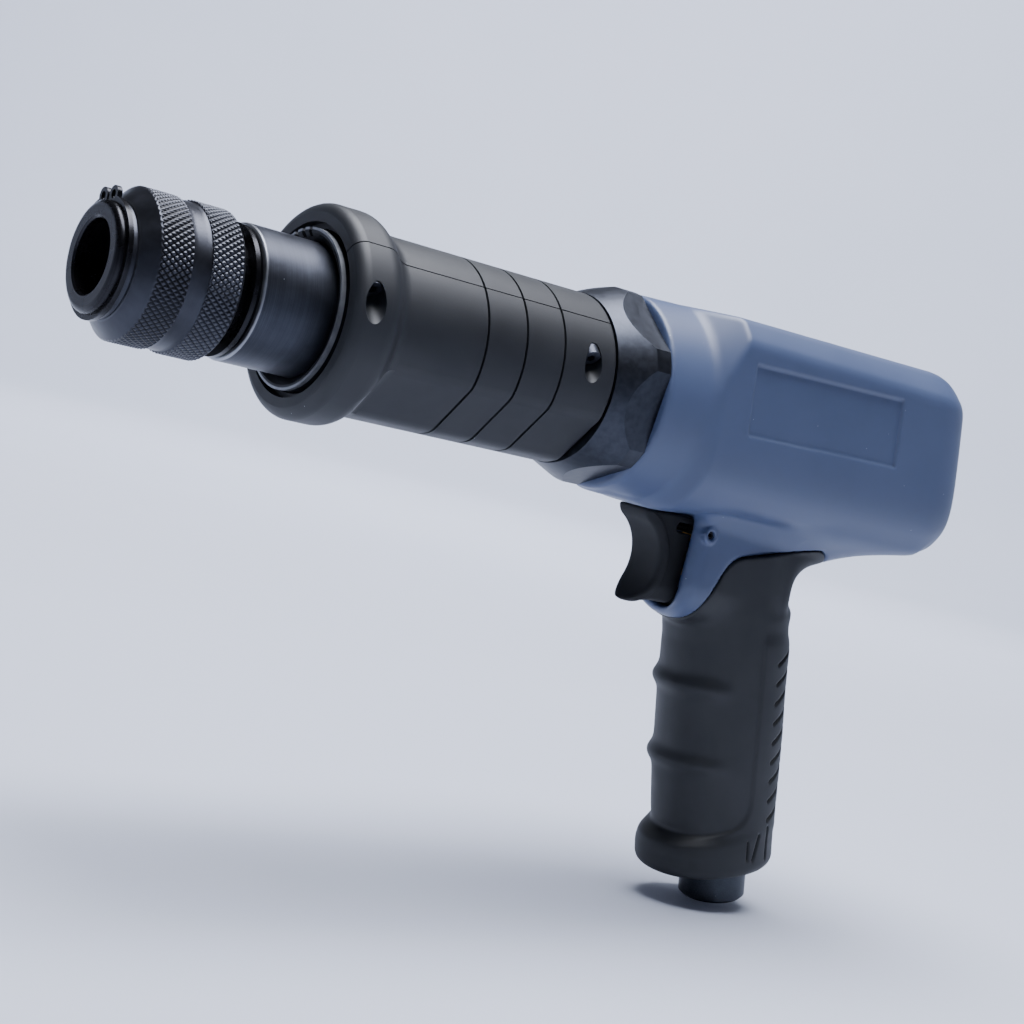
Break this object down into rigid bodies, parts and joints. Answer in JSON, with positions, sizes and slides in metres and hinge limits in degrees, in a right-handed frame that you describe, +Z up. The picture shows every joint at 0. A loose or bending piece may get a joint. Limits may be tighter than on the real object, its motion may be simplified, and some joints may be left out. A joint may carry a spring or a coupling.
{
  "type": "air hammer",
  "caption": "Pistol-grip air hammer: a knurled quick-change chisel retainer on a long barrel with a turning front grip, a blue-grey housing, a rubber handle and a press trigger.",
  "frame": {"origin": "on the barrel axis, at the front end of the bore that takes the chisel's shank", "axes": "+X forward along the barrel axis, out of the muzzle; +Y to the tool's left; +Z up"},
  "size_m": [0.2833, 0.061, 0.1718],
  "materials": {
    "black_steel": "black oxide, satin",
    "bright_steel": "turned and ground",
    "grip_rubber": "matt",
    "seal_rubber": "matt",
    "housing_nylon": "fine grain",
    "black_nylon": "satin",
    "cast_aluminium": "cast and machined",
    "brass": "turned"
  },
  "bodies": {
    "housing": {"air_inlet": "black_steel", "barrel": "black_steel", "barrel_o_ring": "seal_rubber", "front_damper_ring": "seal_rubber", "grip_ring_nut": "bright_steel", "handle_grip": "grip_rubber", "housing_insert": "cast_aluminium", "housing_nut": "black_steel", "inlet_o_ring": "seal_rubber", "inlet_screen": "brass", "main_housing": "housing_nylon", "rear_buffer": "seal_rubber", "rear_damper_ring": "seal_rubber", "retainer_body": "black_steel", "retainer_lock_ring": "black_steel", "retainer_snap_ring": "black_steel", "retainer_spring": "bright_steel", "throttle_bushing": "brass", "throttle_o_ring": "seal_rubber", "throttle_spring": "bright_steel", "trigger_pin": "bright_steel", "valve_base": "bright_steel", "valve_cap": "bright_steel"},
    "front_grip": {"front_grip_lower": "grip_rubber", "front_grip_upper": "grip_rubber", "front_grip_screws": "bright_steel", "front_grip_nuts": "bright_steel"},
    "sleeve": {"retainer_sleeve": "black_steel"},
    "ball_1": {"retainer_ball_1": "bright_steel"},
    "ball_2": {"retainer_ball_2": "bright_steel"},
    "ball_3": {"retainer_ball_3": "bright_steel"},
    "hammer_piston": {"piston": "bright_steel"},
    "air_valve": {"valve_disc": "bright_steel"},
    "trigger_group": {"trigger": "black_nylon", "throttle_stem": "bright_steel"}
  },
  "joints": [
    {"name": "trigger_press", "type": "slide", "parent": "housing", "child": "trigger_group", "axis": [-1, 0, 0], "range_m": [0, 0.0045], "stiffness_N_per_m": 1500, "springref_m": -0.002, "deforming": ["throttle_spring"]},
    {"name": "sleeve_pull", "type": "slide", "parent": "housing", "child": "sleeve", "axis": [-1, 0, 0], "range_m": [0, 0.0045], "stiffness_N_per_m": 2500, "springref_m": -0.002, "deforming": ["retainer_spring"]},
    {"name": "ball_1_lift", "type": "slide", "parent": "housing", "child": "ball_1", "axis": [0, 0, 1], "range_m": [0, 0.0015]},
    {"name": "ball_2_lift", "type": "slide", "parent": "housing", "child": "ball_2", "axis": [0, 0.866, -0.5], "range_m": [0, 0.0015]},
    {"name": "ball_3_lift", "type": "slide", "parent": "housing", "child": "ball_3", "axis": [0, -0.866, -0.5], "range_m": [0, 0.0015]},
    {"name": "piston_stroke", "type": "slide", "parent": "housing", "child": "hammer_piston", "axis": [1, 0, 0], "range_m": [0, 0.0739]},
    {"name": "valve_shift", "type": "slide", "parent": "housing", "child": "air_valve", "axis": [-1, 0, 0], "range_m": [0, 0.0007]},
    {"name": "front_grip_swivel", "type": "hinge", "parent": "housing", "child": "front_grip", "pos_m": [0, 0, 0], "axis": [1, 0, 0], "continuous": true}
  ],
  "couplings": [
    {"joint": "ball_1_lift", "follows": "sleeve_pull", "ratio": 0.33333},
    {"joint": "ball_2_lift", "follows": "sleeve_pull", "ratio": 0.33333},
    {"joint": "ball_3_lift", "follows": "sleeve_pull", "ratio": 0.33333}
  ]
}
